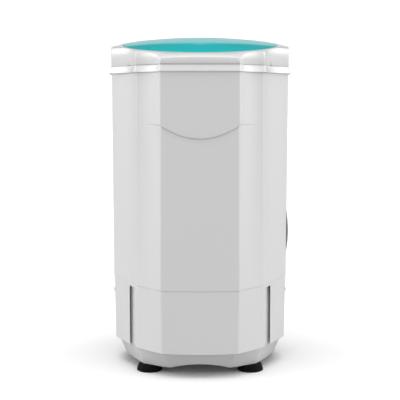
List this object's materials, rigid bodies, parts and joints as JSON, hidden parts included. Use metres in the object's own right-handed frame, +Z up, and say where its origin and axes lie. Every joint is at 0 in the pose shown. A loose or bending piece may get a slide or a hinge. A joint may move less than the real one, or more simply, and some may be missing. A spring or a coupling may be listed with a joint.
{
  "type": "top load spin washing machine",
  "caption": "Slim upright top load machine: fluted white cabinet, hinged teal lid, perforated spin basket in a fixed tub, sprung motor, lid brake and rubber feet.",
  "frame": {"origin": "on the floor, under the middle of the cabinet", "axes": "+Z up, the front panel faces -Y, +X to the right seen from the front"},
  "size_m": [0.3727, 0.3742, 0.666],
  "materials": {
    "white_gloss": "smooth glossy white moulding",
    "white_plain": "plain white polypropylene",
    "lid_teal": "glossy see-through teal",
    "black_rubber": "matt black rubber",
    "grey_rubber": "soft grey rubber",
    "hose_grey": "ribbed dark grey hose",
    "bright_steel": "stainless sheet, circular grain",
    "shaft_steel": "turned steel",
    "zinc_steel": "zinc plated sheet",
    "spring_steel": "oiled spring wire",
    "motor_black": "black enamel",
    "iron": "machined grey iron",
    "lamination": "stacked laminations",
    "copper": "lacquered copper windings",
    "brake_lining": "bonded brake lining",
    "switch_black": "black switch body",
    "capacitor_grey": "plain aluminium can"
  },
  "bodies": {
    "cabinet": {"cabinet_shell": "white_gloss", "collar_ring": "white_gloss", "top_cover": "white_gloss", "skirt": "white_gloss", "plinth": "white_plain", "base_plate": "white_plain", "tub_cover": "white_gloss", "foot_front_left": "black_rubber", "foot_front_right": "black_rubber", "foot_rear_left": "black_rubber", "foot_rear_right": "black_rubber", "foot_screws": "zinc_steel", "skirt_screws": "zinc_steel", "cover_clips": "white_plain", "tub_gasket": "grey_rubber", "hinge_pins": "shaft_steel", "outer_tub": "white_plain", "shaft_seal": "black_rubber", "seal_clamp": "zinc_steel", "drain_elbow": "hose_grey", "drain_hose": "hose_grey", "hose_nozzle": "hose_grey", "hose_clips": "white_plain", "cord_gland": "black_rubber", "spring_seats_lower": "black_rubber", "suspension_spring_1": "spring_steel", "suspension_spring_2": "spring_steel", "suspension_spring_3": "spring_steel", "brake_cable": "switch_black", "cable_bracket": "zinc_steel", "lid_switch": "switch_black", "capacitor": "capacitor_grey", "capacitor_clamp": "zinc_steel"},
    "lid": {"lid_panel": "lid_teal", "lid_grip": "lid_teal", "lid_gasket": "grey_rubber"},
    "motor_unit": {"motor_plate": "zinc_steel", "motor_housing": "motor_black", "motor_end_cap": "motor_black", "motor_bearings": "shaft_steel", "stator": "lamination", "stator_windings": "copper", "spring_seats_upper": "black_rubber", "motor_screws": "zinc_steel", "brake_pivot_pin": "shaft_steel"},
    "spin_assembly": {"drive_shaft": "shaft_steel", "rotor": "lamination", "brake_drum": "iron", "basket_hub": "iron", "basket": "bright_steel", "balance_ring": "white_plain", "hub_nut": "shaft_steel"},
    "brake_arm": {"brake_lever": "zinc_steel", "brake_pad": "brake_lining"},
    "lid_plunger": {"switch_plunger": "white_plain"}
  },
  "joints": [
    {"name": "lid_hinge", "type": "hinge", "parent": "cabinet", "child": "lid", "pos_m": [0, 0.166, 0.6485], "axis": [-1, 0, 0], "range_deg": [0, 100]},
    {"name": "suspension_travel", "type": "slide", "parent": "cabinet", "child": "motor_unit", "axis": [0, 0, 1], "range_m": [-0.006, 0], "stiffness_N_per_m": 20000, "springref_m": 0.006, "deforming": ["suspension_spring_1", "suspension_spring_2", "suspension_spring_3"]},
    {"name": "basket_spin", "type": "hinge", "parent": "motor_unit", "child": "spin_assembly", "pos_m": [0, 0, 0.3], "axis": [0, 0, 1], "continuous": true},
    {"name": "brake_swing", "type": "hinge", "parent": "motor_unit", "child": "brake_arm", "pos_m": [-0.072, -0.04, 0.175], "axis": [0, 0, -1], "range_deg": [0, 6.05]},
    {"name": "plunger_travel", "type": "slide", "parent": "cabinet", "child": "lid_plunger", "axis": [0, 0, 1], "range_m": [0, 0.004]}
  ],
  "couplings": [
    {"joint": "brake_swing", "follows": "lid_hinge", "ratio": 0.06},
    {"joint": "plunger_travel", "follows": "lid_hinge", "m_per_rad": 0.00229}
  ]
}
